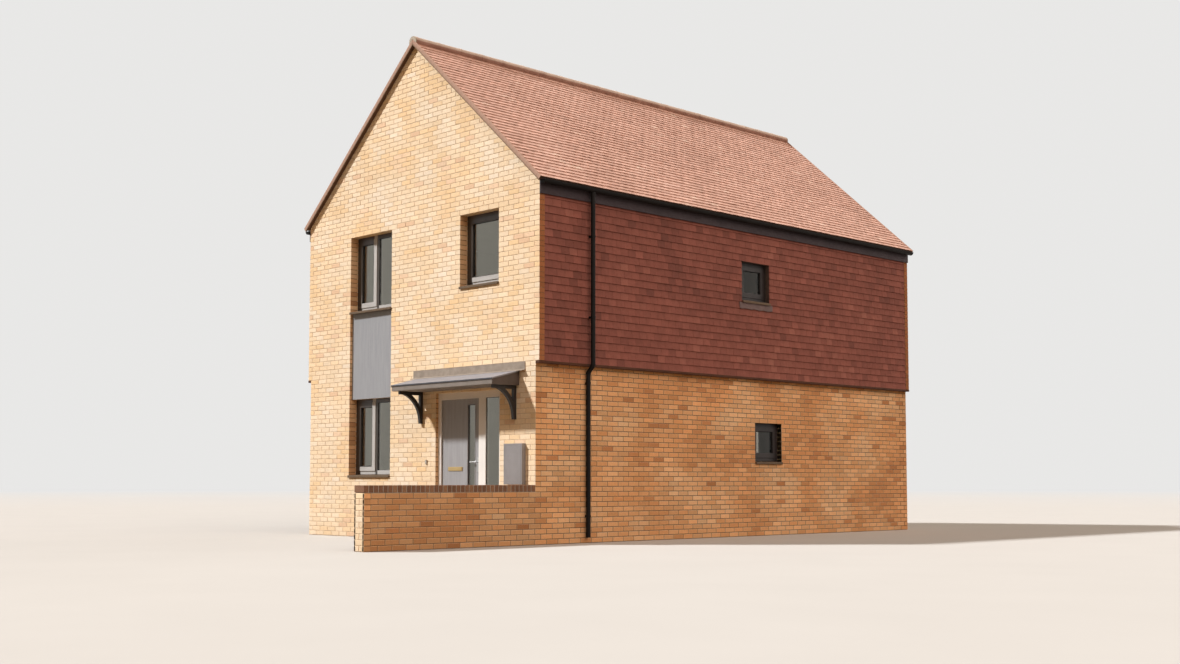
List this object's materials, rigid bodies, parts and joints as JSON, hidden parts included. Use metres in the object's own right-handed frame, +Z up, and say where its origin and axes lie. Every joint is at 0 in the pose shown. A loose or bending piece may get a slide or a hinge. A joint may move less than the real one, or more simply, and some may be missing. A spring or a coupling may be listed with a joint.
{
  "type": "two-storey gabled brick house",
  "caption": "Two-storey gabled house in buff brick with tile-hung upper sides, clay tiled roof, grey windows, a canopy over a hinged front door and a low garden wall",
  "frame": {"origin": "centre of the house's footprint at ground level", "axes": "+Z up, the street front with the door faces -Y, +X is the side on the right as seen from the street"},
  "size_m": [6.152, 12.458, 8.0158],
  "materials": {
    "brick": "matt buff brick with pale mortar",
    "blockwork": "plain blockwork",
    "concrete": "rough concrete",
    "plaster": "matt plaster",
    "hung_tiles": "matt dark red clay",
    "roof_tiles": "matt pinkish red clay",
    "ridge_clay": "matt brown clay",
    "dark_boards": "dark painted boards",
    "verge_grey": "light grey plastic",
    "rainwater_black": "black plastic",
    "window_grey": "satin mid grey",
    "window_glass": "clear sealed units",
    "sill_stone": "smooth cast stone",
    "panel_grey": "matt grey panel",
    "door_white": "off-white satin",
    "door_grey": "satin warm grey",
    "steel": "satin",
    "canopy_sheet": "matt grey sheet",
    "canopy_paint": "grey paint",
    "lead_grey": "weathered lead",
    "bracket_dark": "dark stained timber",
    "meter_grey": "matt grey plastic",
    "coping_brick": "dark engineering brick"
  },
  "bodies": {
    "house": {"ground_floor": "concrete", "first_floor": "plaster", "upper_ceiling": "plaster", "front_wall_left": "brick", "front_wall_right": "brick", "front_wall_over_door": "brick", "front_gable": "brick", "back_wall": "brick", "back_gable": "brick", "right_wall_lower": "brick", "left_wall_lower": "brick", "right_wall_upper": "blockwork", "left_wall_upper": "blockwork", "right_tile_hanging": "hung_tiles", "left_tile_hanging": "hung_tiles", "tilting_boards": "dark_boards", "right_roof": "roof_tiles", "left_roof": "roof_tiles", "ridge_tiles": "ridge_clay", "ridge_ends": "verge_grey", "verges": "verge_grey", "fascias": "dark_boards", "gutters": "rainwater_black", "downpipes": "rainwater_black", "front_window_frames": "window_grey", "front_window_glass": "window_glass", "side_window_frames": "window_grey", "side_window_glass": "window_glass", "back_window_frames": "window_grey", "back_window_glass": "window_glass", "window_sills": "sill_stone", "wall_panels": "panel_grey", "threshold": "concrete", "door_frame": "door_white", "door_hinges": "steel", "canopy_roof": "canopy_sheet", "canopy_boards": "canopy_paint", "canopy_flashing": "lead_grey", "canopy_brackets": "bracket_dark", "meter_box": "meter_grey", "garden_wall": "brick", "garden_wall_coping": "coping_brick", "back_door": "door_grey"},
    "front_door_leaf": {"front_door": "door_grey", "door_glass": "window_glass", "door_furniture": "steel"}
  },
  "joints": [
    {"name": "front_door_hinge", "type": "hinge", "parent": "house", "child": "front_door_leaf", "pos_m": [0.6325, -4.582, 1.17], "axis": [0, 0, 1], "range_deg": [0, 90]}
  ]
}
